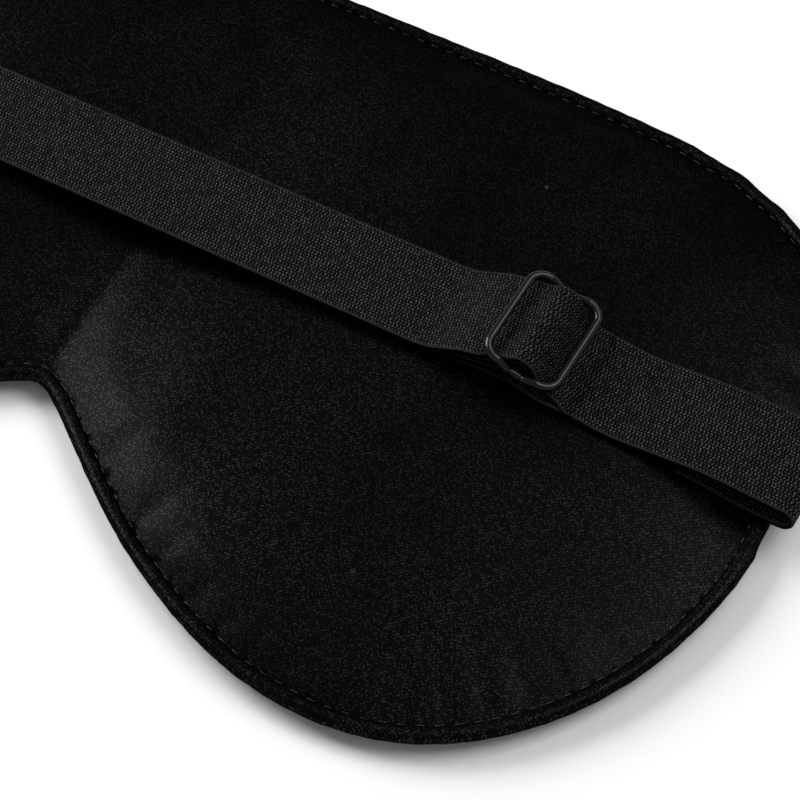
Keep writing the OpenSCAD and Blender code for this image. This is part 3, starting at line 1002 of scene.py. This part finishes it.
def make_strap_ends(material):
    """The sewn end and the ring's tab on the mask, and the stretches that bridge to the flat middle."""
    end = ribbon("strap_right_fold", right_end_path())
    finish_piece(end, material, "elastic", "mask", "strap_right_end")

    bridge = ribbon("strap_right_bridge", right_run_path(), start_u=JOIN_RIGHT / MM)
    finish_piece(bridge, material, "elastic", None, "strap_right_run")
    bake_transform(bridge)

    turn = ribbon("strap_ring_loop", left_turn_path())
    finish_piece(turn, material, "elastic", None, "strap_left_turn")
    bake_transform(turn)

    tab = ribbon("ring_loop_tab", tab_path())
    finish_piece(tab, material, "elastic", "mask", "ring_tab")


def make_bartack(name, node, body, slope, material):
    """Dense zigzag of thread across the strap, in the place of the CAD's bar tack. slope is in degrees."""
    stitches = 26
    stitch_l = 1.9 * MM
    thread_r = 0.15 * MM
    slant = 0.25
    low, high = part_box(node)
    centre = (low + high) / 2
    lean = math.radians(slope)
    along = np.array([math.cos(lean), 0, -math.sin(lean)])
    across = np.array([0, 1, 0])
    up = np.cross(along, across)
    parts = []
    for k in range(stitches):
        place = (k / (stitches - 1) - 0.5) * (high.y - low.y)
        direction = along + across * (slant if k % 2 else -slant)
        direction /= np.linalg.norm(direction)
        middle = np.array(centre) + across * place
        parts.append(capsule(middle, direction, up, stitch_l, thread_r))
    obj = join_parts(name, parts)
    finish_piece(obj, material, "thread", body, node)


# ---------------------------------------------------------------- stage
def make_floor(material):
    """A plain floor just under the rest face."""
    half = 3.0
    gap = 0.02 * MM
    corners = [(-half, -half, 0), (half, -half, 0), (half, half, 0), (-half, half, 0)]
    floor = add_mesh("floor", corners, [(0, 1, 2, 3)])
    floor.location.z = -gap
    floor.data.materials.append(material)


def area_light(name, place, size, power):
    """A square soft light that faces the mask."""
    data = bpy.data.lights.new(name, "AREA")
    data.shape = "SQUARE"
    data.size = size
    data.energy = power
    lamp = bpy.data.objects.new(name, data)
    lamp.location = place
    aim = Vector((30 * MM, 0, 0))
    lamp.rotation_euler = (aim - Vector(place)).to_track_quat("-Z", "Y").to_euler()
    scene.collection.objects.link(lamp)


def make_light():
    """A window for the sheen on the lobe's left flank, a soft light overhead and a dim white sky."""
    world = bpy.data.worlds.new("studio")
    world.use_nodes = True
    sky = world.node_tree.nodes["Background"]
    sky.inputs["Color"].default_value = (1, 1, 1, 1)
    sky.inputs["Strength"].default_value = 0.3
    scene.world = world
    area_light("window", (-1.0, 0.12, 0.72), 0.7, 15)
    area_light("overhead", (0.6, 0.45, 1.1), 0.9, 8.5)


def make_camera():
    """Looks down on the right half from the lower right, as the photo does."""
    azimuth = math.radians(29)
    elevation = math.radians(54)
    distance = 0.42
    target = Vector((43.2 * MM, NOTCH_Y + 22.6 * MM, 0))
    back = Vector((
        math.sin(azimuth) * math.cos(elevation),
        -math.cos(azimuth) * math.cos(elevation),
        math.sin(elevation),
    ))
    data = bpy.data.cameras.new("camera")
    data.lens = 139.9
    data.sensor_width = 36
    data.clip_start = 0.01
    camera = bpy.data.objects.new("camera", data)
    camera.location = target + back * distance
    camera.rotation_euler = (-back).to_track_quat("-Z", "Y").to_euler()
    scene.collection.objects.link(camera)
    scene.camera = camera


# ---------------------------------------------------------------- build
make_camera()
scene.view_settings.view_transform = "Standard"
panel_satin = satin_material("satin", (0.0032, 0.0032, 0.0029, 1), (0.026, 0.0264, 0.0242, 1), -40)
edge_satin = satin_material("piping_satin", (0.0034, 0.0034, 0.0031, 1), (0.036, 0.0364, 0.0335, 1), 20)
elastic = elastic_material()
wire = wire_material()
thread = thread_material()
wadding = filling_material()

make_wadding(wadding)
make_face_panel(panel_satin)
make_back_panel(panel_satin)
make_piping(edge_satin)
make_cord(wadding)
make_seam_stitches(thread)
make_flat_runs(elastic)
make_slider_layers(elastic)
make_strap_ends(elastic)
make_bartack("right_end_tack", "right_end_bartack", "mask", 6.5, thread)
make_bartack("sewn_end_tack", "sewn_end_bartack", "slider", -15.1, thread)
make_bartack("ring_tab_tack", "ring_tab_bartack", "mask", -6.3, thread)

for node, material in (
    ("slider_frame", wire),
    ("slider_centre_bar", wire),
    ("strap_ring", wire),
    ("blackout_lining", lining_material()),
):
    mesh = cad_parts[node].data
    mesh.materials.clear()
    mesh.materials.append(material)

make_floor(floor_material())
make_light()
